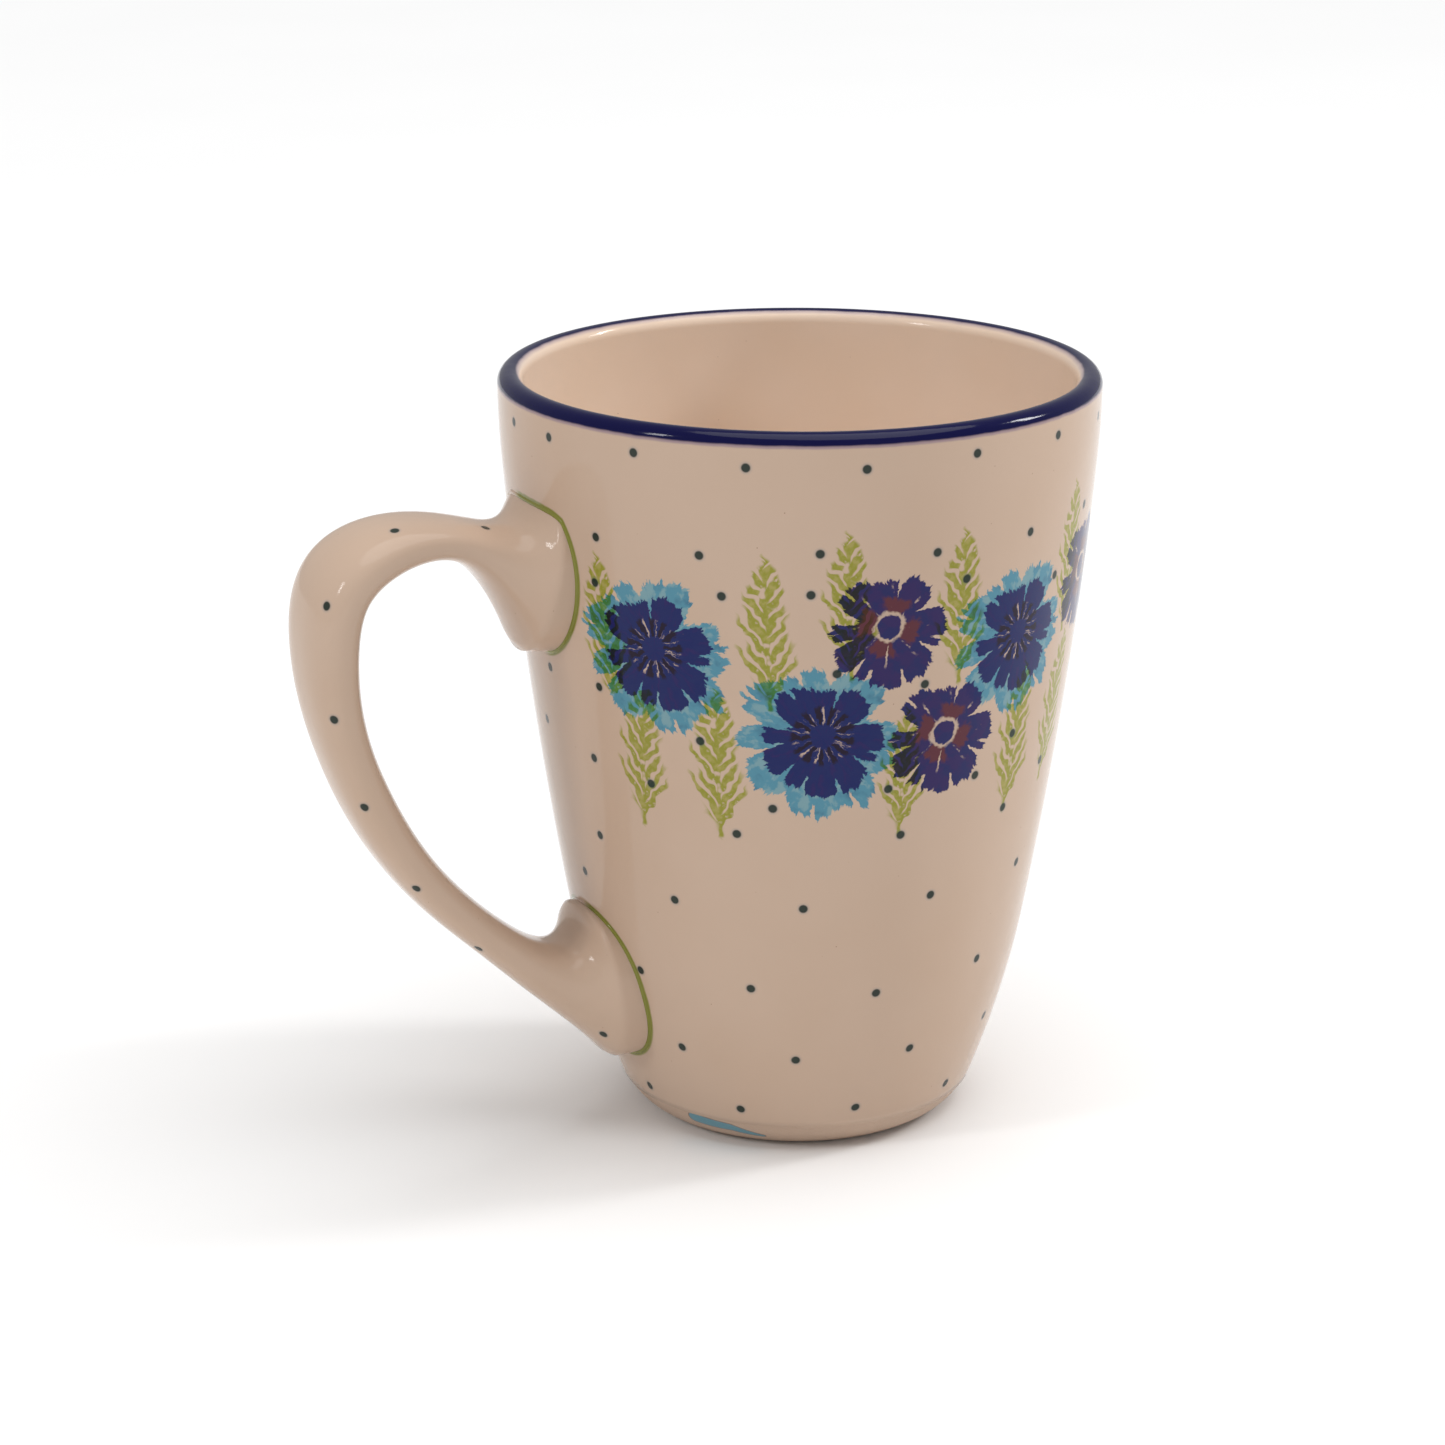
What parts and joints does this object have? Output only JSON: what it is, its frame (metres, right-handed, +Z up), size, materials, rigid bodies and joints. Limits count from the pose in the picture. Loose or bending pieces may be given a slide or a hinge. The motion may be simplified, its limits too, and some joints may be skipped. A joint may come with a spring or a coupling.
{
  "type": "stoneware mug",
  "caption": "Tapered stoneware drinking mug with a wide ear-shaped strap handle, a cobalt rim band and hand-stamped flower decoration.",
  "frame": {"origin": "on the cup's axis at the level of the surface the foot stands on", "axes": "+Z up along the cup's axis; the handle points along -X; +Y completes a right-handed frame"},
  "size_m": [0.1234, 0.0886, 0.114],
  "materials": {
    "stoneware": "fired, unglazed foot",
    "slip": "fired slip",
    "cobalt_band": "glossy cobalt under clear glaze",
    "clear_glaze": "glossy clear glaze over stamped decoration"
  },
  "bodies": {
    "root": {"cup_body": "stoneware", "handle": "clear_glaze", "upper_slip_joint": "slip", "lower_slip_joint": "slip", "rim_band": "cobalt_band", "outer_glaze": "clear_glaze", "inner_glaze": "clear_glaze"}
  },
  "joints": []
}
